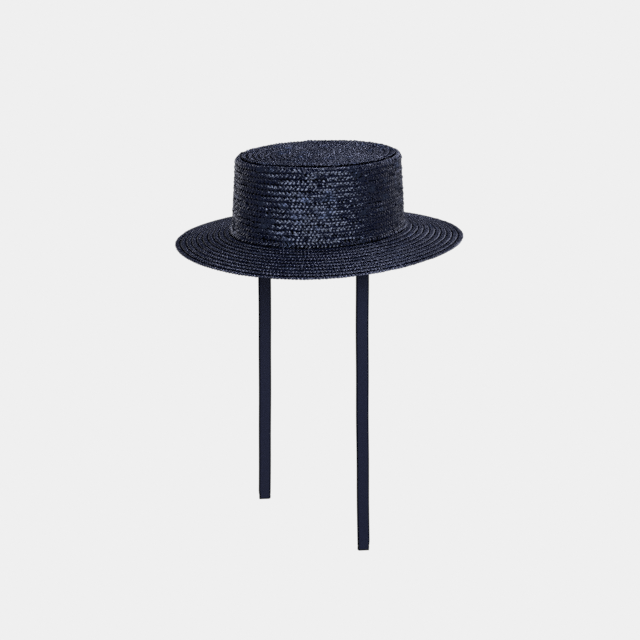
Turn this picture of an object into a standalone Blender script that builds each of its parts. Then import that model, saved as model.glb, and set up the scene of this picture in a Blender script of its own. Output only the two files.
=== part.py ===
"""A straw boater hat with two long ribbon ties, in metres, +Z up.

The origin is the centre of the head opening, at the plane where the crown meets the brim.
The wearer's front faces -Y. The crown and the brim are turned forms that are then pressed
to the oval of a head: a point at radius r lies on an oval of half sizes r - OVAL and r + OVAL.
"""

import math

import bpy

# The head opening, inside the straw, at the base of the crown
HEAD_HALF_WIDTH = 0.0834
HEAD_HALF_LENGTH = 0.0994

# The straw: a sewn wall, its rows of braid and the depth of the groove between two rows
STRAW_WALL = 0.0020
BRAID_PITCH = 0.0060
ROW_GROOVE = 0.0008
SEAM_GAP = 0.0003

# The crown
CROWN_HEIGHT = 0.0816
CROWN_TAPER = 0.0056
CROWN_FLARE = 0.0020
FLARE_HEIGHT = 0.0070
CROWN_SHOULDER = 0.0020
SHOULDER_HEIGHT = 0.0060
RIDGE_HEIGHT = 0.0015
TIP_DISH = 0.0015

# The brim
BRIM_WIDTH = 0.0629
BRIM_DROP = 0.0127
BRIM_SEAT = 0.0011
BRIM_CURVE = 1.25
BRIM_BACK_SHIFT = 0.0028

# How far the brim's edge hangs below the origin, by direction, as shares of BRIM_DROP.
# Direction is in degrees from the wearer's left, +X, towards the back, +Y.
BRIM_EDGE = [
    {"direction": 0, "drop": 0.83},
    {"direction": 45, "drop": 0.77},
    {"direction": 90, "drop": 1.04},
    {"direction": 135, "drop": 1.06},
    {"direction": 180, "drop": 1.05},
    {"direction": 225, "drop": 0.94},
    {"direction": 270, "drop": 1.00},
    {"direction": 315, "drop": 1.17},
]

# The ties: flat ribbons, sewn inside the opening a little in front of its middle.
# Each ends below the origin by its drop, a share of TIE_DROP, and turns towards the front by its
# angle in degrees. Its back edge is cut longer by the slant.
TIE_WIDTH = 0.0154
TIE_THICKNESS = 0.0010
TIE_DROP = 0.3600
TIE_SEWN = 0.014
TIE_FORWARD = 0.0118
TIE_SEAT = 0.0008
TIE_SPLAY = 0.0075
TIE_CURL = 1.5
TIE_TURN_DROP = 0.035
TIE_SLANT = 0.0024
TIES = [
    {"name": "tie_left", "side": 1, "turn": 12.0, "drop": 0.995},
    {"name": "tie_right", "side": -1, "turn": 20.0, "drop": 1.003},
]

ROUND_STEPS = 48
TIE_STEPS = 24
MERGE = 0.00001

# Sizes that follow from those above
HEAD_MEAN = (HEAD_HALF_WIDTH + HEAD_HALF_LENGTH) / 2
OVAL = (HEAD_HALF_LENGTH - HEAD_HALF_WIDTH) / 2
SIDE_BASE = BRIM_SEAT + STRAW_WALL / 2 + SEAM_GAP
FLARE_TOP = SIDE_BASE + FLARE_HEIGHT
RIM_HEIGHT = CROWN_HEIGHT - RIDGE_HEIGHT
BRIM_RADIUS = HEAD_MEAN + STRAW_WALL + BRIM_WIDTH


def straw_material():
    material = bpy.data.materials.new("straw_braid")
    material.use_nodes = True
    shader = material.node_tree.nodes["Principled BSDF"]
    shader.inputs["Base Color"].default_value = (0.012, 0.014, 0.030, 1.0)
    shader.inputs["Roughness"].default_value = 0.35
    shader.inputs["Metallic"].default_value = 0.0
    return material


def ribbon_material():
    material = bpy.data.materials.new("ribbon")
    material.use_nodes = True
    shader = material.node_tree.nodes["Principled BSDF"]
    shader.inputs["Base Color"].default_value = (0.012, 0.014, 0.034, 1.0)
    shader.inputs["Roughness"].default_value = 0.6
    shader.inputs["Metallic"].default_value = 0.0
    return material


def row_count(length):
    return max(1, round(length / BRAID_PITCH))


def side_radius(z):
    """The middle of the crown's wall, before it is pressed to the oval.

    It flares out at its foot, and leans in at its shoulder.
    """
    flare = max(0.0, 1 - (z - SIDE_BASE) / FLARE_HEIGHT)
    lean = max(0.0, 1 - (CROWN_HEIGHT - z) / SHOULDER_HEIGHT)
    straight = HEAD_MEAN + STRAW_WALL / 2 - CROWN_TAPER * z / CROWN_HEIGHT
    return straight + CROWN_FLARE * flare**2 - CROWN_SHOULDER * lean**2


def brim_height(r):
    """The middle of the brim's thickness, before its edge is waved."""
    share = (r - HEAD_MEAN) / (BRIM_RADIUS - HEAD_MEAN)
    return BRIM_SEAT - (BRIM_SEAT + BRIM_DROP) * max(0.0, share) ** BRIM_CURVE


def edge_drop(angle):
    """The brim edge's drop in a direction, on the smooth curve through BRIM_EDGE."""
    count = len(BRIM_EDGE)
    total = 0.0
    for row in BRIM_EDGE:
        away = angle - math.radians(row["direction"])
        weight = 1 + math.cos(away * count / 2)
        for wave in range(1, count // 2):
            weight += 2 * math.cos(wave * away)
        total += row["drop"] * weight / count
    return total * BRIM_DROP


def side_profile():
    """The wall's section: down the ribbed outside, then up the plain inside."""
    half = STRAW_WALL / 2
    height = CROWN_HEIGHT - SIDE_BASE
    rows = row_count(height)
    points = [(side_radius(CROWN_HEIGHT), CROWN_HEIGHT)]
    for row in range(rows):
        crest = CROWN_HEIGHT - height * (row + 0.5) / rows
        groove = CROWN_HEIGHT - height * (row + 1) / rows
        points.append((side_radius(crest) + half + ROW_GROOVE / 2, crest))
        points.append((side_radius(groove) + half - ROW_GROOVE / 2, groove))
    middle = SIDE_BASE + FLARE_HEIGHT / 2
    for z in (SIDE_BASE, middle, FLARE_TOP, CROWN_HEIGHT - SHOULDER_HEIGHT, RIM_HEIGHT):
        points.append((side_radius(z) - half, z))
    return points


def tip_profile():
    """The tip's section: out from the axis over the rows, then back along the underside."""
    edge = side_radius(RIM_HEIGHT) - STRAW_WALL / 2 - SEAM_GAP
    rows = row_count(edge)

    def surface(r):
        return RIM_HEIGHT - TIP_DISH * (1 - (r / edge) ** 2)

    points = [(0.0, surface(0.0))]
    for row in range(rows):
        crest = edge * (row + 0.5) / rows
        groove = edge * (row + 1) / rows
        points.append((crest, surface(crest)))
        points.append((groove, surface(groove) - ROW_GROOVE))
    for share in (1.0, 0.5, 0.0):
        points.append((edge * share, surface(edge * share) - STRAW_WALL))
    return points


def brim_profile():
    """The brim's section: out over the ribbed top, then in along the plain underside."""
    half = STRAW_WALL / 2
    inner = HEAD_MEAN
    foot = side_radius(SIDE_BASE) + half
    rows = row_count(BRIM_RADIUS - foot)
    points = [(inner, BRIM_SEAT + half), (foot, BRIM_SEAT + half)]
    for row in range(rows):
        crest = foot + (BRIM_RADIUS - foot) * (row + 0.5) / rows
        groove = foot + (BRIM_RADIUS - foot) * (row + 1) / rows
        points.append((crest, brim_height(crest) + half + ROW_GROOVE / 2))
        points.append((groove, brim_height(groove) + half - ROW_GROOVE / 2))
    for share in (1.0, 0.75, 0.5, 0.25, 0.0):
        r = inner + (BRIM_RADIUS - inner) * share
        points.append((r, brim_height(r) - half))
    return points


def press_to_oval(point):
    """Moves a point of a turned form onto the head's oval."""
    r = math.hypot(point.x, point.y)
    angle = math.atan2(point.y, point.x)
    stretch = OVAL * min(1.0, r / (2 * OVAL))
    point.x = (r - stretch) * math.cos(angle)
    point.y = (r + stretch) * math.sin(angle)


def shape_brim(point):
    """Waves the brim's edge by BRIM_EDGE, shifts it back, and presses it to the oval."""
    r = math.hypot(point.x, point.y)
    angle = math.atan2(point.y, point.x)
    share = max(0.0, (r - HEAD_MEAN) / (BRIM_RADIUS - HEAD_MEAN))
    press_to_oval(point)
    point.y += BRIM_BACK_SHIFT * share
    point.z += (BRIM_DROP - edge_drop(angle)) * share**2


def turned(name, profile, is_ring, shape):
    """A section turned about Z by a Screw, with each point then moved by shape."""
    mesh = bpy.data.meshes.new(name + "_section")
    edges = [(i, i + 1) for i in range(len(profile) - 1)]
    if is_ring:
        edges.append((len(profile) - 1, 0))
    mesh.from_pydata([(r, 0.0, z) for r, z in profile], edges, [])
    section = bpy.data.objects.new(name + "_section", mesh)
    bpy.context.scene.collection.objects.link(section)
    screw = section.modifiers.new("turn", "SCREW")
    screw.axis = "Z"
    screw.angle = math.tau
    screw.steps = ROUND_STEPS
    screw.render_steps = ROUND_STEPS
    screw.use_merge_vertices = True
    screw.merge_threshold = MERGE
    graph = bpy.context.evaluated_depsgraph_get()
    solid = bpy.data.meshes.new_from_object(section.evaluated_get(graph))
    bpy.data.objects.remove(section)
    bpy.data.meshes.remove(mesh)
    for vertex in solid.vertices:
        shape(vertex.co)
    solid.name = name
    solid.shade_smooth()
    solid.set_sharp_from_angle(angle=math.radians(50))
    return bpy.data.objects.new(name, solid)


def wall_inside(y, z):
    """How far the crown's inner face lies from the middle, above its flare, at a place y."""
    r = side_radius(max(z, FLARE_TOP)) - STRAW_WALL / 2
    return (r - OVAL) * math.sqrt(1 - (y / (r + OVAL)) ** 2)


def tie_point(across, z, side, turn, drop):
    """A point of a ribbon's middle surface, across from -0.5 to 0.5 of its width."""
    y = across * TIE_WIDTH
    seat = TIE_SEAT + TIE_THICKNESS / 2
    sewn = (wall_inside(y - TIE_FORWARD, z) - seat, y - TIE_FORWARD)
    if z >= 0:
        return side * sewn[0], sewn[1], z
    share = -z / drop
    cut = across * TIE_SLANT * share
    middle = wall_inside(-TIE_FORWARD, z) - seat
    ease = min(1.0, -z / TIE_TURN_DROP)
    ease = ease * ease * (3 - 2 * ease)
    angle = math.radians(turn)
    free = (side * middle + y * math.sin(angle), y * math.cos(angle) - TIE_FORWARD)
    x = side * (sewn[0] * (1 - ease) + TIE_SPLAY * share**TIE_CURL) + free[0] * ease
    return x, sewn[1] * (1 - ease) + free[1] * ease, z - cut


def ribbon(name, side, turn, drop):
    """A flat ribbon: a grid laid along its route, thickened by Solidify."""
    columns = (-0.5, 0.0, 0.5)
    heights = [FLARE_TOP + TIE_SEWN, FLARE_TOP, 0.0]
    heights += [-drop * (step / TIE_STEPS) ** 1.5 for step in range(1, TIE_STEPS + 1)]
    points = [tie_point(across, z, side, turn, drop) for z in heights for across in columns]
    wide = len(columns)
    faces = [
        (row * wide + i, row * wide + i + 1, (row + 1) * wide + i + 1, (row + 1) * wide + i)
        for row in range(len(heights) - 1)
        for i in range(wide - 1)
    ]
    mesh = bpy.data.meshes.new(name)
    mesh.from_pydata(points, [], faces)
    tie = bpy.data.objects.new(name, mesh)
    thick = tie.modifiers.new("thickness", "SOLIDIFY")
    thick.thickness = TIE_THICKNESS
    thick.offset = 0.0
    return tie


def main():
    for old in list(bpy.data.objects):
        bpy.data.objects.remove(old)
    hat = bpy.data.collections.new("straw_hat")
    bpy.context.scene.collection.children.link(hat)
    hanger = bpy.data.objects.new("head_seat", None)
    hat.objects.link(hanger)

    straw = straw_material()
    cloth = ribbon_material()
    pieces = [
        turned("crown_tip", tip_profile(), False, press_to_oval),
        turned("crown_side", side_profile(), True, press_to_oval),
        turned("brim", brim_profile(), True, shape_brim),
    ]
    for piece in pieces:
        piece.data.materials.append(straw)
    for row in TIES:
        tie = ribbon(row["name"], row["side"], row["turn"], row["drop"] * TIE_DROP)
        tie.data.materials.append(cloth)
        pieces.append(tie)
    for piece in pieces:
        hat.objects.link(piece)
        piece.parent = hanger


main()
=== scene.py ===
"""A dark navy straw boater hat with two long ribbon ties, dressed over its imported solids.

The straw is built as it is sewn: rows of plaited straw, each plait of three strands that cross
over and under one another, laid edge over edge round the crown's tip, its side and the brim.
Lengths are in metres.
"""

import math
from collections import namedtuple

import bpy
import numpy as np
from mathutils import Matrix, Vector


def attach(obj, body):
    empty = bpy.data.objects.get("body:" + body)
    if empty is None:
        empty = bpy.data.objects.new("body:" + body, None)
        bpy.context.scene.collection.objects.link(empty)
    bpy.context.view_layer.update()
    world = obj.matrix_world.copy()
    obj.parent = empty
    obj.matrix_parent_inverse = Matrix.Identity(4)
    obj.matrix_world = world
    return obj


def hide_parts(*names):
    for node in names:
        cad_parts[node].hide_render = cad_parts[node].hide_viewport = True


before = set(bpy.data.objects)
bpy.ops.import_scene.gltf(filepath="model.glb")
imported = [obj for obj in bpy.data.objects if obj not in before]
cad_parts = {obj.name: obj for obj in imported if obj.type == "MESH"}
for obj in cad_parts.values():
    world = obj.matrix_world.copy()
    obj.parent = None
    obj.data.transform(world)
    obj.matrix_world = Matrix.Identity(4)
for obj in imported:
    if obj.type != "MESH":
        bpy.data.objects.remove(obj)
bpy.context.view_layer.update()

# The hat's form, as its solids have it
HEAD_HALF_WIDTH = 0.0834
HEAD_HALF_LENGTH = 0.0994
STRAW_WALL = 0.0020
CROWN_HEIGHT = 0.0816
CROWN_TAPER = 0.0056
CROWN_FLARE = 0.0020
FLARE_HEIGHT = 0.0070
CROWN_SHOULDER = 0.0020
SHOULDER_HEIGHT = 0.0060
RIDGE_HEIGHT = 0.0015
TIP_DISH = 0.0015
BRIM_WIDTH = 0.0629
BRIM_DROP = 0.0127
BRIM_SEAT = 0.0011
BRIM_CURVE = 1.25
BRIM_BACK_SHIFT = 0.0028
SEAM_GAP = 0.0003
TIE_WIDTH = 0.0154
TIE_THICKNESS = 0.0010
TIE_DROP = 0.3600
TIE_SEWN = 0.014
TIE_FORWARD = 0.0118
TIE_SEAT = 0.0008
TIE_SPLAY = 0.0075
TIE_CURL = 1.5
TIE_TURN_DROP = 0.035

# The brim's droop at eight even angles round its edge, as shares of BRIM_DROP
EDGE_DROPS = [0.83, 0.77, 1.04, 1.06, 1.05, 0.94, 1.00, 1.17]

# Each tie's side of the hat, its turn in degrees, its share of TIE_DROP and the slant of its end
Tie = namedtuple("Tie", "side turn drop_share slant")
TIES = {"tie_left": Tie(1, 16, 0.995, 0.0032), "tie_right": Tie(-1, 20, 1.003, 0.0024)}

HEAD_MEAN = (HEAD_HALF_WIDTH + HEAD_HALF_LENGTH) / 2
OVAL = (HEAD_HALF_LENGTH - HEAD_HALF_WIDTH) / 2
SIDE_BASE = BRIM_SEAT + STRAW_WALL / 2 + SEAM_GAP
BRIM_RADIUS = HEAD_MEAN + STRAW_WALL + BRIM_WIDTH
RIM_HEIGHT = CROWN_HEIGHT - RIDGE_HEIGHT
FLARE_TOP = SIDE_BASE + FLARE_HEIGHT

# Small forms of the straw that the solids leave out: the tip's slight lift, the row turned over the
# crown's top edge and the crown's higher front; and a black sheet beside the tip's edge, painted shadow of
# a gap there
FOOT_SPREAD = 0.0008
BRIM_SAG = 0.0010
TIP_LIFT = 0.0028
TIP_BLEND = 0.045
TIP_CORE_START = 0.0005
TIP_STEP_IN = 0.0045
TIP_TOP = RIM_HEIGHT - STRAW_WALL / 2 + TIP_LIFT
RIM_ROUND = 0.0040
RIM_BEND = 0.55
RIM_LIFT = -0.0015
RIM_TURN_LIMIT = 1.5
FRONT_RISE = 0.0015
RISE_AT = math.radians(-56)
RISE_WIDTH = 0.5
RISE_POWER = 4
# The black sheet of painted shadow beside the tip's edge: its widest and narrowest width, and the angle and
# spread of its widening
GAP_SHADOW_FRONT = 0.0020
GAP_SHADOW_END = 0.0006
GAP_SHADOW_AT = math.radians(-38)
GAP_SHADOW_WIDTH = 1.0

# The plaits. A strand swings to each side of its row's middle and lifts over the others, a row's
# face leans by tilt and rounds by bulge, uneven is how unevenly it is made, and gleam is how bright
# its patches are
Plait = namedtuple("Plait", "period lift swing strand tilt bulge uneven gleam")
SIDE_PLAIT = Plait(0.0126, 0.00055, 0.0020, 0.0022, tilt=0.0004, bulge=0.0, uneven=1.0, gleam=1.0)
BRIM_PLAIT = Plait(0.0110, 0.00035, 0.0019, 0.0020, tilt=0.0003, bulge=0.0006, uneven=0.5, gleam=0.6)
EDGE_PLAIT = Plait(0.0110, 0.00030, 0.0015, 0.0023, tilt=0.0003, bulge=0.0004, uneven=0.5, gleam=0.6)
TIP_PLAIT = Plait(0.0120, 0.00070, 0.0020, 0.0020, tilt=0.0003, bulge=0.0005, uneven=1.1, gleam=1.2)
RIM_PLAIT = Plait(0.0115, 0.00040, 0.0012, 0.0017, tilt=0.0, bulge=0.0002, uneven=0.8, gleam=0.6)
STRANDS = 3
STRAND_THICKNESS = 0.00072
STRAND_FLAT = 0.38
STEPS_PER_PERIOD = 14
KNOTS_PER_PERIOD = 6
LEAST_PERIODS = 3
LEAST_KNOTS = 4

# How finely rows are measured and the near-black sheets of painted shade are cut, and how much more a
# strand's broad faces count in its shading than its narrow ones
MEASURE_STEPS = 4000
CORE_STEPS = 180
FACE_WEIGHT = 80
TINY = 1e-12

# The rows, and how far the first and the last of them lie inside or past the edges they meet
SIDE_ROWS = 14
SIDE_ROWS_UPPER = 7
SIDE_TOP_MARGIN = 0.0008
SIDE_FOOT_TUCK = 0.0015
BRIM_ROWS = 10
BRIM_ROWS_INNER = 6
BRIM_ROW_PITCH = 0.0061
BRIM_EDGE_OUT = 0.0003
TIP_ROWS = 12
TIP_MIDDLE_OVERLAP = 0.0008
TIP_EDGE_OUT = 0.0004
RIM_IN = 0.0001

# The near-black sheets in the middle of the straw, straw beneath the strands coloured to paint the shade in
# the plait's holes:
# how far they overlap, and how far they stay inside the side's top and foot and the brim's inner and outer
# edge
CORE_OVERLAP = 0.0002
SIDE_CORE_TOP = 0.0022
SIDE_CORE_FOOT = 0.0006
BRIM_CORE_IN = 0.0010
BRIM_CORE_OUT = 0.0015

# How unevenly a plait of unevenness 1 is made: the spreads of its strands' places, widths and turns,
# and of its rows' sway, and the bright patches where the straw lies flatter and wider
PHASE_SPREAD = 0.03
ACROSS_SPREAD = 0.00016
LIFT_SPREAD = 0.00011
WIDTH_SPREAD = 0.05
ROLL_SPREAD = math.radians(10)
ROLL_TAIL = 0.3
SWAY_SPREAD = math.radians(8)
SWAY_LENGTH = 0.012
ROW_PATCHES = 0.8
ROW_PATCH_LENGTH = 0.011
SHARED_PATCHES = 0.8
SHARED_PATCH_LENGTH = 0.030
SHARED_WAVES = 7
FLAT_FROM = 0.6
FLAT_LOWERS = 0.4
FLAT_WIDENS = 0.15

# How the fibres' pattern runs along a strand, and how far it is shifted for each strand and row
FIBRE_RUN = 1.3
FIBRE_STRAND_SHIFT = 3.7
FIBRE_ROW_SHIFT = 50

# The ribbon's cloth: its edges, its hem and its cut end
CLOTH = 0.00085
EDGE_ROUND = 0.0006
END_LEAST = 0.2
EDGE_RIDGE = 0.0013
RIDGE_WIDTH = 0.0005
RIDGE_RISE = 0.00012
HEM = 0.0060
HEM_INSET = 0.0002
HEM_DENT = 0.00030
DENT_WIDTH = 0.0009
STITCH_WIDTH = 0.0006
CORNER = 0.0022
END_TAPER = 0.0010
END_TAPER_LENGTH = 0.012
WAFT = 0.00025
WAFT_WAVES = 61
WAFT_START = 0.05
RIBBON_COLUMNS = 17
RIBBON_RINGS = 190
HEM_RINGS = 36
HEM_FINE = 0.016

# The materials: ranges of the values that they read and of what comes of them, and each set of
# threads' direction, fineness and distortion
TONE_RANGE = (-1.5, 2.0)
TONE_WEAR = -0.2
PATCH_RANGE = (0.2, 2.8)
GLEAM_RANGE = (0.0, 0.8)
BLUE_POWER = 2.0
STRAW_ROUGHNESS = (0.12, 0.40)
# The near-black range of the middle sheets, painted shade for the plait's holes
PAINTED_DEPTH_SHADES = (0.0005, 0.0015)
FIBRE_STRETCH = (3.0, 90.0, 1.0)
WEFTS = ("Y", 520.0, 0.6)
WARPS = ("X", 700.0, 0.4)
# How far in from the ribbon's edges and end its painted edge shade fades out
EDGE_SHADE_FADE = (0.0014, 0.0019)
CLOTH_ROUGHNESS = (0.55, 0.75)
CLOTH_SHEEN = (0.03, 0.3)

# Colours
STRAW_DARK = (0.0004, 0.0010, 0.0060, 1)
STRAW_LIGHT = (0.0030, 0.0045, 0.0150, 1)
STRAW_BLUE = (0.046, 0.060, 0.100, 1)
STRAW_GLOSS = (0.76, 0.82, 1.0, 1)
RIBBON_DARK = (0.0020, 0.0033, 0.0135, 1)
RIBBON_LIGHT = (0.0078, 0.0122, 0.0460, 1)
# The ribbon's edge colour is painted shade, where its rounded edge turns from the light
RIBBON_EDGE_SHADE = (0.0003, 0.0004, 0.0012, 1)
BLACK = (0, 0, 0, 1)
PALE = 0.863
PALE_GREY = (PALE, PALE, PALE, 1)
STUDIO_DIM = (0.026, 0.028, 0.034, 1)
KEY_TINT = (0.83, 0.89, 1.0)
FILL_TINT = (0.90, 0.90, 1.0)
BACK_TINT = (0.76, 0.79, 1.0)

# The studio: each light's name, azimuth and pitch in degrees, size, power and tint
LIGHT_DISTANCE = 1.6
LIGHTS = [
    ("key_high", 54, 27, 0.8, 27.5, KEY_TINT),
    ("key_middle", 54, 14, 0.8, 5.3, KEY_TINT),
    ("key_right", 68, 14, 0.8, 3.4, KEY_TINT),
    ("key_left", 40, 14, 0.8, 6.3, KEY_TINT),
    ("top_back", 228, 81, 0.25, 8.6, BACK_TINT),
    ("top_left", 318, 78, 0.25, 4.2, FILL_TINT),
    ("back", 228, 60, 0.25, 4.6, BACK_TINT),
    ("rim_left", 275, 12, 0.8, 5.7, FILL_TINT),
    ("rim_right", 180, 34, 0.8, 8.6, BACK_TINT),
    ("rim_right_low", 178, 8, 0.8, 2.4, FILL_TINT),
    ("wide_left", 318, 0, 2.0, 4.4, FILL_TINT),
    ("wide_right", 138, 0, 2.0, 4.2, FILL_TINT),
    ("wide_back", 228, 0, 2.0, 1.2, BACK_TINT),
    ("wide_below", 48, -75, 2.0, 12.0, FILL_TINT),
]
FLOOR_SIZE = 14
FLOOR_DROP = 1.68

# The camera, at the photograph's viewing angle
IMAGE_SIDE = 640
FOCAL_PIXELS = 1139
SENSOR_WIDTH = 36
CAMERA_AZIMUTH = 48
CAMERA_PITCH = 18.3
CAMERA_DISTANCE = 1.25
AIM_RIGHT = 0.00097
AIM_DOWN = 0.1019

rng = np.random.default_rng(7)
WAVES = rng.normal(0.0, math.tau / SHARED_PATCH_LENGTH, (SHARED_WAVES, 3))
WAVE_STARTS = rng.uniform(0.0, math.tau, SHARED_WAVES)

# Points, quads between them, and the values at each point that the material reads
Part = namedtuple("Part", "points faces values")

# What the strands of a row share: its surface, place and plait, and how patch and sway run along it
Row = namedtuple("Row", "surface q out plait periods angles patch sway")


def ease(share):
    """A share from 0 to 1 that starts and ends gently."""
    share = np.clip(share, 0, 1)
    return share * share * (3 - 2 * share)


def bell(distance, width):
    return np.exp(-((distance / width) ** 2))


def bell_at(angle, peak, width):
    """A bell over the angles round the hat, whose peak may lie on either side of the full turn."""
    return bell((angle - peak + math.pi) % math.tau - math.pi, width)


def round_off(distance, radius, least=0.0):
    """How full a rounded edge is, as a share from least to 1, at a distance in from it."""
    return np.sqrt(np.clip(1 - (1 - np.minimum(distance / radius, 1)) ** 2, least**2, 1))


def oval_ring(r, angle, z):
    """Points at a mean radius r, pressed to the head's oval."""
    return np.stack([(r - OVAL) * np.cos(angle), (r + OVAL) * np.sin(angle), z + 0 * angle], 1)


def side_radius(z):
    """The mean radius of the middle of the crown's wall."""
    flare = np.maximum(0.0, 1 - (z - SIDE_BASE) / FLARE_HEIGHT)
    lean = np.maximum(0.0, 1 - (CROWN_HEIGHT - z) / SHOULDER_HEIGHT)
    straight = HEAD_MEAN + STRAW_WALL / 2 - CROWN_TAPER * z / CROWN_HEIGHT
    return straight + CROWN_FLARE * flare**2 - CROWN_SHOULDER * lean**2


TIP_EDGE = float(side_radius(RIM_HEIGHT)) - STRAW_WALL / 2 - SEAM_GAP
RIM_EDGE = float(side_radius(CROWN_HEIGHT)) + STRAW_WALL / 2
TIP_REACH = RIM_EDGE - OVAL - TIP_STEP_IN


def front_rise(angle, share):
    """How much higher the crown is towards its front edge, share of the way up or out to that edge."""
    return FRONT_RISE * bell_at(angle, RISE_AT, RISE_WIDTH) * share**RISE_POWER


def side_surface(q, angle):
    """The middle of the crown's wall, q below its top."""
    z = CROWN_HEIGHT - q
    foot = np.maximum(0.0, 1 - (z - SIDE_BASE) / FLARE_HEIGHT)
    r = side_radius(z) + FOOT_SPREAD * foot**2
    return oval_ring(r, angle, z + front_rise(angle, z / CROWN_HEIGHT))


def edge_drop(angle):
    """How far the brim's edge hangs below the head opening, smooth through the named drops."""
    total = 0.0
    count = len(EDGE_DROPS)
    for index, drop in enumerate(EDGE_DROPS):
        away = angle - index * math.tau / count
        weight = 1 + np.cos(away * count / 2)
        for wave in range(1, count // 2):
            weight = weight + 2 * np.cos(wave * away)
        total = total + drop * weight / count
    return total * BRIM_DROP


def brim_surface(q, angle):
    """The middle of the brim, at a mean radius q."""
    share = np.maximum(0.0, (q - HEAD_MEAN) / (BRIM_RADIUS - HEAD_MEAN))
    z = BRIM_SEAT - (BRIM_SEAT + BRIM_DROP) * share**BRIM_CURVE
    z = z + (BRIM_DROP - edge_drop(angle)) * share**2 - BRIM_SAG * np.sin(math.pi * share)
    points = oval_ring(q, angle, z)
    points[:, 1] += BRIM_BACK_SHIFT * share
    return points


def tip_surface(q, angle):
    """The middle of the tip, q out from the straight core that the first row folds round."""
    core = 2 * OVAL
    quarter = np.arcsin(np.clip(np.abs(np.sin(angle)), 0, 1))
    reach = np.maximum(q, TIP_CORE_START)
    straight = (math.pi / 2) * core / (core + reach * math.pi / 2)
    bend = np.maximum(0.0, (quarter - straight) / (math.pi / 2 - straight)) * math.pi / 2
    run = np.minimum(1.0, quarter / straight) * core
    folded_x = np.sign(np.cos(angle)) * q * np.cos(bend)
    folded_y = np.sign(np.sin(angle)) * (run + q * np.sin(bend))
    oval = ease(q / TIP_BLEND)
    x = folded_x * (1 - oval) + q * np.cos(angle) * oval
    y = folded_y * (1 - oval) + (q + core) * np.sin(angle) * oval
    out = (q + OVAL) / TIP_EDGE
    z = TIP_TOP - TIP_DISH * (1 - out**2) + front_rise(angle, out)
    return np.stack([x, y, z], 1)


def rim_surface(q, angle):
    """The row that is turned over the crown's top edge, q in from the edge."""
    turned = np.clip(1 - q / RIM_ROUND, 0, RIM_TURN_LIMIT)
    z = CROWN_HEIGHT + RIM_LIFT - RIM_ROUND * RIM_BEND * turned**2
    return oval_ring(RIM_EDGE - np.maximum(q, 0), angle, z + front_rise(angle, 1))


def step_surface(z, angle):
    """The upright step inside the turned row, up to the tip's edge."""
    return oval_ring(RIM_EDGE - TIP_STEP_IN, angle, z + front_rise(angle, 1))


def gap_shadow_surface(share, angle):
    """A black sheet beside the tip's edge that paints the shadow of a gap, share of the way across it,
    widest at the front.
    """
    width = GAP_SHADOW_END + (GAP_SHADOW_FRONT - GAP_SHADOW_END) * bell_at(angle, GAP_SHADOW_AT, GAP_SHADOW_WIDTH)
    return oval_ring(RIM_EDGE - TIP_STEP_IN + share * width, angle, TIP_TOP + front_rise(angle, 1))


def unit(vectors):
    return vectors / np.maximum(np.linalg.norm(vectors, axis=-1, keepdims=True), TINY)


def surface_normal(surface, q, angle, out):
    """The outward normal of a surface, from its own small differences."""
    step = 1e-5
    across = surface(q + step, angle) - surface(q - step, angle)
    along = surface(q, angle + step) - surface(q, angle - step)
    return unit(np.cross(along, across)) * out


def ring_angles(surface, q, count):
    """The angles of count places that lie an equal way apart along a row, and the row's length."""
    dense = np.linspace(0.0, math.tau, MEASURE_STEPS + 1)
    points = surface(np.full(len(dense), q), dense)
    travelled = np.concatenate([[0.0], np.cumsum(np.linalg.norm(np.diff(points, axis=0), axis=1))])
    places = np.arange(count) / count * travelled[-1]
    return np.interp(places, travelled, dense), travelled[-1]


def wander(count, spread, steps):
    """A smooth closed random curve with count knots, read at steps places."""
    knots = rng.normal(0.0, spread, count)
    places = np.arange(steps) / steps * count
    first = places.astype(int) % count
    share = ease(places % 1)
    return knots[first] * (1 - share) + knots[(first + 1) % count] * share


def shared_patch(points):
    """A smooth random value from place to place, the same for neighbouring rows."""
    return np.sin(points @ WAVES.T + WAVE_STARTS).sum(1) / math.sqrt(SHARED_WAVES / 2)


def tube_faces(rings, sides):
    """The quads of a closed tube whose end meets its start."""
    ring = np.arange(rings)[:, None]
    side = np.arange(sides)[None, :]
    after = (ring + 1) % rings
    beside = (side + 1) % sides
    corners = [ring * sides + side, ring * sides + beside, after * sides + beside, after * sides + side]
    return np.stack([np.broadcast_to(c, (rings, sides)) for c in corners], 2).reshape(-1, 4)


# A strand's flat section, as shares of its width and thickness
SECTION = [
    (-0.5, 0.0), (-STRAND_FLAT, 0.5), (STRAND_FLAT, 0.5),
    (0.5, 0.0), (STRAND_FLAT, -0.5), (-STRAND_FLAT, -0.5),
]


def half_width(plait):
    return plait.swing + plait.strand / 2


def strand_points(centre, normal, roll, wide):
    """The points round one flat strand along a closed path, rolled about the path."""
    ahead = unit(np.roll(centre, -1, 0) - np.roll(centre, 1, 0))
    side = unit(np.cross(ahead, normal))
    top = np.cross(side, ahead)
    cos, sin = np.cos(roll)[:, None], np.sin(roll)[:, None]
    side, top = side * cos + top * sin, top * cos - side * sin
    corners = [centre + side * (wide * s)[:, None] + top * (STRAND_THICKNESS * t) for s, t in SECTION]
    return np.stack(corners, 1).reshape(-1, 3)


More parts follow.
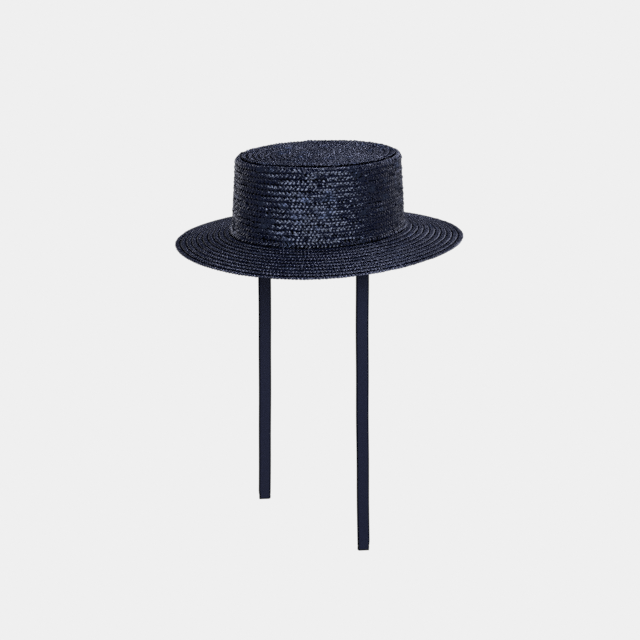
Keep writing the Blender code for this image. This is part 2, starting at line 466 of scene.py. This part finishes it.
def strand_part(row, strand):
    """One strand of a row, which swings from side to side and crosses over and under the others."""
    plait = row.plait
    half = half_width(plait)
    steps = len(row.angles)
    knots = row.periods * KNOTS_PER_PERIOD

    def uneven(count, spread):
        return wander(count, spread * plait.uneven, steps)

    place = np.arange(steps) / STEPS_PER_PERIOD
    turn = -math.tau * (place + strand / STRANDS + uneven(row.periods, PHASE_SPREAD))
    across = plait.swing * np.cos(turn) + uneven(knots, ACROSS_SPREAD)
    flat = np.clip(row.patch - FLAT_FROM, 0, 1)
    lean = plait.tilt / half + row.sway
    lift = row.out * plait.lift * np.sin(2 * turn) * (1 - FLAT_LOWERS * flat) + uneven(knots, LIFT_SPREAD)
    lift = lift + lean * across - plait.bulge * (across / half) ** 2
    slope = lean - 2 * plait.bulge * across / half**2
    turned = wander(knots, 1.0, steps)
    roll = ROLL_SPREAD * plait.uneven * (turned + ROLL_TAIL * turned**3) - row.out * slope
    wide = plait.strand * (1 + uneven(knots, WIDTH_SPREAD) + FLAT_WIDENS * flat)
    tone = wander(knots, 1.0, steps)

    normal = surface_normal(row.surface, row.q + across, row.angles, row.out)
    centre = row.surface(row.q + across, row.angles) + normal * lift[:, None]
    fibre = place * plait.period * FIBRE_RUN + strand * FIBRE_STRAND_SHIFT + row.q * FIBRE_ROW_SHIFT
    sides = len(SECTION)
    values = {
        "across": np.tile([s * 2 for s, t in SECTION], steps),
        "along": np.repeat(fibre, sides),
        "tone": np.repeat(tone, sides),
        "patch": np.repeat(row.patch * plait.gleam, sides),
    }
    return Part(strand_points(centre, normal, roll, wide), tube_faces(steps, sides), values)


def plait_row(surface, q, plait, out):
    """One closed row of plait, where out turns the surface's own normal to the hat's outside."""
    length = ring_angles(surface, q, 1)[1]
    periods = max(LEAST_PERIODS, round(length / plait.period))
    angles = ring_angles(surface, q, periods * STEPS_PER_PERIOD)[0]
    steps = len(angles)
    patch = wander(max(LEAST_KNOTS, round(length / ROW_PATCH_LENGTH)), ROW_PATCHES, steps)
    patch = patch + SHARED_PATCHES * shared_patch(surface(np.full(steps, q), angles))
    sway = wander(max(LEAST_KNOTS, round(length / SWAY_LENGTH)), SWAY_SPREAD * plait.uneven, steps)
    row = Row(surface, q, out, plait, periods, angles, patch, sway)
    return [strand_part(row, strand) for strand in range(STRANDS)]


def plait_rows(surface, rows, plait, out=-1):
    """Rows of plait side by side, each q in rows the place of one row's middle."""
    return [part for q in rows for part in plait_row(surface, q, plait, out)]


def core_grid(surface, q_from, q_to, columns):
    """A thin sheet in the middle of the straw, which the plait's small holes show; its near-black material
    paints the shade in them.
    """
    angles = ring_angles(surface, (q_from + q_to) / 2, CORE_STEPS)[0]
    qs = np.linspace(q_from, q_to, columns)
    points = np.concatenate([surface(np.full(CORE_STEPS, q), angles) for q in qs])
    faces = tube_faces(columns, CORE_STEPS)[: (columns - 1) * CORE_STEPS]
    zero = np.zeros(len(points))
    return Part(points, faces, {"across": zero, "along": zero, "tone": zero, "patch": zero})


def mesh_object(name, parts, materials, slots):
    """One object from several parts, each with the material that its slot names."""
    starts = np.cumsum([0] + [len(part.points) for part in parts])
    points = np.concatenate([part.points for part in parts]).astype(np.float32)
    faces = np.concatenate([part.faces + start for part, start in zip(parts, starts)]).astype(np.int32)
    face_slots = np.repeat(slots, [len(part.faces) for part in parts]).astype(np.int32)
    mesh = bpy.data.meshes.new(name)
    mesh.vertices.add(len(points))
    mesh.vertices.foreach_set("co", points.ravel())
    mesh.loops.add(faces.size)
    mesh.loops.foreach_set("vertex_index", faces.ravel())
    mesh.polygons.add(len(faces))
    mesh.polygons.foreach_set("loop_start", np.arange(0, faces.size, 4, dtype=np.int32))
    mesh.polygons.foreach_set("material_index", face_slots)
    mesh.update(calc_edges=True)
    mesh.validate()
    for key in parts[0].values:
        values = np.concatenate([part.values[key] for part in parts])
        mesh.attributes.new(key, "FLOAT", "POINT").data.foreach_set("value", values.astype(np.float32))
    mesh.shade_smooth()
    for material in materials:
        mesh.materials.append(material)
    piece = bpy.data.objects.new(name, mesh)
    bpy.context.scene.collection.objects.link(piece)
    flats = piece.modifiers.new("flat_straws", "WEIGHTED_NORMAL")
    flats.mode = "FACE_AREA"
    flats.weight = FACE_WEIGHT
    return piece


def braid_piece(name, node, plaits, cores):
    """A piece of the straw in place of its solid: plaited rows, and the near-black sheets of painted shade
    between them.
    """
    piece = mesh_object(name, plaits + cores, [STRAW, PAINTED_DEPTHS], [0] * len(plaits) + [1] * len(cores))
    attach(piece, "root")
    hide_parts(node)


def crown_straw():
    """The crown: the row turned over its top edge, the tip inside it, and the side down to its foot."""
    turned_row = plait_rows(rim_surface, [half_width(RIM_PLAIT) + RIM_IN], RIM_PLAIT, out=1)
    turned_core = core_grid(rim_surface, CORE_OVERLAP, TIP_STEP_IN, columns=5)
    step_core = core_grid(step_surface, CROWN_HEIGHT + RIM_LIFT - CORE_OVERLAP, TIP_TOP, columns=2)

    half = half_width(TIP_PLAIT)
    rows = np.linspace(half - TIP_MIDDLE_OVERLAP, TIP_REACH - half + TIP_EDGE_OUT, TIP_ROWS)
    core = core_grid(tip_surface, TIP_CORE_START, TIP_REACH + CORE_OVERLAP, columns=14)
    # A black sheet of painted shadow beside the tip's edge
    gap = core_grid(gap_shadow_surface, 0.0, 1.0, columns=3)
    braid_piece("crown_tip_plait", "crown_tip", plait_rows(tip_surface, rows, TIP_PLAIT), [core, gap])

    half = half_width(SIDE_PLAIT)
    last = CROWN_HEIGHT - SIDE_BASE - half + SIDE_FOOT_TUCK
    rows = np.linspace(half + SIDE_TOP_MARGIN, last, SIDE_ROWS)
    upper, lower = rows[:SIDE_ROWS_UPPER], rows[SIDE_ROWS_UPPER:]
    middle = (upper[-1] + lower[0]) / 2
    core = core_grid(side_surface, SIDE_CORE_TOP, middle, columns=8)
    upper_rows = turned_row + plait_rows(side_surface, upper, SIDE_PLAIT)
    braid_piece("crown_side_plait_upper", "crown_side", upper_rows, [core, turned_core, step_core])
    core = core_grid(side_surface, middle, CROWN_HEIGHT - SIDE_CORE_FOOT, columns=8)
    braid_piece("crown_side_plait_lower", "crown_side", plait_rows(side_surface, lower, SIDE_PLAIT), [core])


def brim_straw():
    """The brim: a row under the crown's foot, rows of one pitch in from the edge, and the edge row."""
    half, edge_half = half_width(BRIM_PLAIT), half_width(EDGE_PLAIT)
    edge = BRIM_RADIUS - edge_half + BRIM_EDGE_OUT
    rows = edge - (half - edge_half) - BRIM_ROW_PITCH * np.arange(1, BRIM_ROWS)[::-1]
    rows = np.concatenate([[HEAD_MEAN + half], rows])
    inner, outer = rows[:BRIM_ROWS_INNER], rows[BRIM_ROWS_INNER:]
    middle = (inner[-1] + outer[0]) / 2
    core = core_grid(brim_surface, HEAD_MEAN + BRIM_CORE_IN, middle, columns=8)
    braid_piece("brim_plait_inner", "brim", plait_rows(brim_surface, inner, BRIM_PLAIT), [core])
    core = core_grid(brim_surface, middle, BRIM_RADIUS - BRIM_CORE_OUT, columns=8)
    braid_piece("brim_plait_outer", "brim", plait_rows(brim_surface, outer, BRIM_PLAIT), [core])
    braid_piece("brim_plait_edge", "brim", plait_rows(brim_surface, [edge], EDGE_PLAIT), [])


def wall_inside(y, z):
    """How far from the hat's middle plane the inner face of the crown's wall is."""
    r = side_radius(np.maximum(z, FLARE_TOP)) - STRAW_WALL / 2
    return (r - OVAL) * np.sqrt(1 - (y / (r + OVAL)) ** 2)


def tie_middle(y, z, shape, drop):
    """The middle surface of a ribbon, y across it from its own middle line, as its solid has it."""
    seat = TIE_SEAT + TIE_THICKNESS / 2
    turn = math.radians(shape.turn)
    share = np.clip(-z / drop, 0, 1)
    free = ease(-z / TIE_TURN_DROP)
    sewn_x = wall_inside(y - TIE_FORWARD, z) - seat
    free_x = shape.side * (wall_inside(-TIE_FORWARD, z) - seat) + y * math.sin(turn)
    free_y = y * math.cos(turn) - TIE_FORWARD
    x = shape.side * (sewn_x * (1 - free) + TIE_SPLAY * share**TIE_CURL) + free_x * free
    y_at = (y - TIE_FORWARD) * (1 - free) + free_y * free
    return np.stack([x, y_at, z - y / TIE_WIDTH * shape.slant * share], -1)


def tie_edges(from_end, side):
    """The two edges of a ribbon at a height over its end, where one corner is round and one slants in."""
    dent = HEM_DENT * bell(from_end - HEM, DENT_WIDTH)
    rounded = TIE_WIDTH / 2 - CORNER * (1 - round_off(from_end, CORNER)) - dent
    slanted = TIE_WIDTH / 2 - END_TAPER * np.maximum(0.0, 1 - from_end / END_TAPER_LENGTH) - dent
    return (-rounded, slanted) if side > 0 else (-slanted, rounded)


def cloth_half(reach, from_end):
    """Half the cloth's thickness at a reach in from its nearer edge and a height over its end."""
    half = CLOTH / 2 * round_off(reach, EDGE_ROUND)
    half = half + RIDGE_RISE * bell(reach - EDGE_RIDGE, RIDGE_WIDTH)
    half = half + RIDGE_RISE * (from_end < HEM) * (reach > HEM_INSET)
    half = half - RIDGE_RISE * bell(from_end - HEM, STITCH_WIDTH)
    return half * round_off(from_end, EDGE_ROUND, END_LEAST)


def tie_part(z, shape, drop):
    """A ribbon's closed strip, ring by ring down the heights z: both faces, and a cap at each end."""
    sweep = np.linspace(-1, 1, RIBBON_COLUMNS)
    around = np.concatenate([sweep, sweep[::-1][1:-1]])
    face = np.where(np.arange(len(around)) < RIBBON_COLUMNS, 1.0, -1.0)
    spread = np.sin(around * math.pi / 2)[None, :]
    from_end = (z + drop)[:, None]
    low, high = tie_edges(from_end, shape.side)
    y = (low + high) / 2 + (high - low) / 2 * spread
    reach = (high - low) / 2 * (1 - np.abs(spread))
    z = np.repeat(z[:, None], len(around), 1)

    step = 1e-4
    middle = tie_middle(y, z, shape, drop)
    along = tie_middle(y, z + step, shape, drop) - middle
    beside = tie_middle(y + step, z, shape, drop) - middle
    waft = WAFT * np.sin(z * WAFT_WAVES + shape.side) * np.clip(-z / WAFT_START, 0, 1)
    height = cloth_half(reach, from_end) * face + waft
    points = middle + unit(np.cross(along, beside)) * height[:, :, None]

    rings, sides = y.shape
    ends = [np.arange(sides), np.arange(sides) + (rings - 1) * sides]
    caps = [[e[i], e[i + 1], e[-i - 2], e[-i - 1]] for e in ends for i in range(sides // 2 - 1)]
    faces = np.concatenate([tube_faces(rings, sides)[: (rings - 1) * sides], np.array(caps)])
    inside = np.minimum(reach, from_end)
    values = {"across": y.ravel(), "along": z.ravel(), "inside": inside.ravel()}
    return Part(points.reshape(-1, 3), faces, values)


def tie(name, shape):
    """One ribbon, from where it is sewn inside the crown down to its free end."""
    drop = TIE_DROP * shape.drop_share
    long_run = np.linspace(FLARE_TOP + TIE_SEWN, HEM_FINE - drop, RIBBON_RINGS)
    z = np.concatenate([long_run[:-1], np.linspace(HEM_FINE - drop, -drop, HEM_RINGS)])
    piece = mesh_object(name + "_ribbon", [tie_part(z, shape, drop)], [RIBBON], [0])
    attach(piece, "root")
    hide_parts(name)


def fill(node, values):
    """Set a node's inputs, each to a value or to another node's output."""
    for key, value in values.items():
        if isinstance(value, bpy.types.NodeSocket):
            node.id_data.links.new(value, node.inputs[key])
        else:
            node.inputs[key].default_value = value


def add_node(tree, kind, values, output=0, **settings):
    """The output of a new node with the given inputs and settings."""
    node = tree.nodes.new(kind)
    for key, value in settings.items():
        setattr(node, key, value)
    fill(node, values)
    return node.outputs[output]


def attribute(tree, name):
    return add_node(tree, "ShaderNodeAttribute", {}, "Fac", attribute_name=name)


def remap(tree, value, start=(0.0, 1.0), end=(0.0, 1.0)):
    """A value that runs over the range start, brought to the range end."""
    ranges = {"From Min": start[0], "From Max": start[1], "To Min": end[0], "To Max": end[1]}
    return add_node(tree, "ShaderNodeMapRange", {"Value": value, **ranges})


def blend(tree, share, first, second):
    values = {"Factor": share, "A": first, "B": second}
    return add_node(tree, "ShaderNodeMix", values, "Result", data_type="RGBA")


def threads(tree, place, direction, fineness, distortion):
    """Fine parallel bands, as threads lie in cloth."""
    values = {"Vector": place, "Scale": fineness, "Distortion": distortion}
    return add_node(tree, "ShaderNodeTexWave", values, "Fac", bands_direction=direction)


def flat_place(tree):
    """The place on a strand or a ribbon, across it and along it."""
    values = {"X": attribute(tree, "across"), "Y": attribute(tree, "along")}
    return add_node(tree, "ShaderNodeCombineXYZ", values)


def calculate(tree, operation, *values):
    return add_node(tree, "ShaderNodeMath", dict(enumerate(values)), operation=operation)


def new_material(name, colour):
    """A new material of one colour, and its shader."""
    material = bpy.data.materials.new(name)
    material.use_nodes = True
    shader = material.node_tree.nodes["Principled BSDF"]
    shader.inputs["Base Color"].default_value = colour
    return material, shader


def straw_material():
    """Glossy straw: strands differ in tone and wear, fibres run along them, and patches gleam blue."""
    material, shader = new_material("glossy_navy_straw", STRAW_DARK)
    tree = material.node_tree
    tone = attribute(tree, "tone")
    stretch = {0: flat_place(tree), 1: FIBRE_STRETCH}
    place = add_node(tree, "ShaderNodeVectorMath", stretch, operation="MULTIPLY")
    fibre = add_node(tree, "ShaderNodeTexNoise", {"Vector": place, "Scale": 1.6, "Detail": 2.0}, "Fac")
    ground = blend(tree, remap(tree, tone, TONE_RANGE), STRAW_DARK, STRAW_LIGHT)
    gleam = remap(tree, attribute(tree, "patch"), PATCH_RANGE, GLEAM_RANGE)
    blue = calculate(tree, "POWER", gleam, BLUE_POWER)
    worn = calculate(tree, "MULTIPLY_ADD", tone, TONE_WEAR, fibre)
    bump = add_node(tree, "ShaderNodeBump", {"Height": fibre, "Strength": 0.35, "Distance": 0.0003})
    fill(shader, {
        "Base Color": blend(tree, blue, ground, STRAW_BLUE),
        "Roughness": remap(tree, worn, end=STRAW_ROUGHNESS),
        "Metallic": gleam,
        "Normal": bump,
        "Specular IOR Level": 0.5,
        "Specular Tint": STRAW_GLOSS,
    })
    return material


def core_material():
    """The straw in the middle, made nearly black and without gloss to paint the shade in the depths between
    the strands.
    """
    material, shader = new_material("straw_depths_painted_shade", BLACK)
    tree = material.node_tree
    noise = add_node(tree, "ShaderNodeTexNoise", {"Scale": 900.0}, "Fac")
    shade = remap(tree, noise, end=PAINTED_DEPTH_SHADES)
    colour = add_node(tree, "ShaderNodeCombineColor", {"Red": shade, "Green": shade, "Blue": shade})
    fill(shader, {"Base Color": colour, "Roughness": 0.8, "Specular IOR Level": 0.0})
    return material


def ribbon_material():
    """Woven navy cloth, cloudy in tone, with painted shade along its rounded edges and its cut end."""
    material, shader = new_material("navy_ribbon", RIBBON_DARK)
    tree = material.node_tree
    place = flat_place(tree)
    weave = calculate(tree, "MULTIPLY", threads(tree, place, *WEFTS), threads(tree, place, *WARPS))
    cloudy = add_node(tree, "ShaderNodeTexNoise", {"Vector": place, "Scale": 260.0, "Detail": 3.0}, "Fac")
    cloth = blend(tree, calculate(tree, "MULTIPLY", weave, cloudy), RIBBON_DARK, RIBBON_LIGHT)
    # Near the edges and the cut end the colour and the sheen fall away: painted shade where the rounded
    # edge turns from the light
    inner = remap(tree, attribute(tree, "inside"), EDGE_SHADE_FADE)
    bump = add_node(tree, "ShaderNodeBump", {"Height": weave, "Strength": 0.4, "Distance": 0.0001})
    fill(shader, {
        "Base Color": blend(tree, inner, RIBBON_EDGE_SHADE, cloth),
        "Roughness": remap(tree, cloudy, end=CLOTH_ROUGHNESS),
        "Specular IOR Level": remap(tree, inner, end=CLOTH_SHEEN),
        "Normal": bump,
    })
    return material


def pale_floor():
    """A wide floor far below the hat, which is held at the height of a head."""
    bpy.ops.mesh.primitive_plane_add(size=FLOOR_SIZE, location=(0, 0, -FLOOR_DROP))
    floor = bpy.context.active_object
    floor.name = "floor"
    material, shader = new_material("pale_floor", BLACK)
    fill(shader, {"Specular IOR Level": 0.0, "Emission Color": PALE_GREY, "Emission Strength": 1.0})
    floor.data.materials.append(material)
    floor.visible_diffuse = False
    floor.visible_glossy = False


def direction(azimuth, pitch):
    """The unit vector from the hat towards an azimuth, counted from the front, and a pitch."""
    azimuth, pitch = math.radians(azimuth), math.radians(pitch)
    level = math.cos(pitch)
    return Vector((math.sin(azimuth) * level, -math.cos(azimuth) * level, math.sin(pitch)))


def place_camera():
    """The camera, turned upright to look along its azimuth and pitch at the aim."""
    back = direction(CAMERA_AZIMUTH, CAMERA_PITCH)
    right = direction(CAMERA_AZIMUTH + 90, 0)
    up = back.cross(right)
    aim = right * AIM_RIGHT - up * AIM_DOWN
    camera = bpy.data.objects.new("camera", bpy.data.cameras.new("camera"))
    camera.data.sensor_width = SENSOR_WIDTH
    camera.data.lens = FOCAL_PIXELS / IMAGE_SIDE * SENSOR_WIDTH
    turned = Matrix((right, up, back)).transposed().to_4x4()
    camera.matrix_world = Matrix.Translation(aim + back * CAMERA_DISTANCE) @ turned
    bpy.context.scene.collection.objects.link(camera)
    bpy.context.scene.camera = camera


def area_light(name, azimuth, pitch, size, power, tint):
    """A soft square light that faces the hat, placed by angles as the camera is."""
    away = direction(azimuth, pitch)
    light = bpy.data.objects.new(name, bpy.data.lights.new(name, "AREA"))
    light.data.size = size
    light.data.energy = power
    light.data.color = tint
    light.location = away * LIGHT_DISTANCE
    light.rotation_euler = away.to_track_quat("Z", "Y").to_euler()
    bpy.context.scene.collection.objects.link(light)


def studio():
    """Pale to the camera and dim to all other rays, with soft lights round the hat."""
    world = bpy.data.worlds.new("studio")
    bpy.context.scene.world = world
    world.use_nodes = True
    tree = world.node_tree
    seen = add_node(tree, "ShaderNodeLightPath", {}, "Is Camera Ray")
    fill(tree.nodes["Background"], {"Color": blend(tree, seen, STUDIO_DIM, PALE_GREY)})
    bpy.context.scene.view_settings.view_transform = "Standard"
    bpy.context.scene.cycles.use_denoising = False
    for light in LIGHTS:
        area_light(*light)


STRAW = straw_material()
PAINTED_DEPTHS = core_material()
RIBBON = ribbon_material()

place_camera()
studio()
pale_floor()
for tie_name, tie_shape in TIES.items():
    tie(tie_name, tie_shape)
crown_straw()
brim_straw()
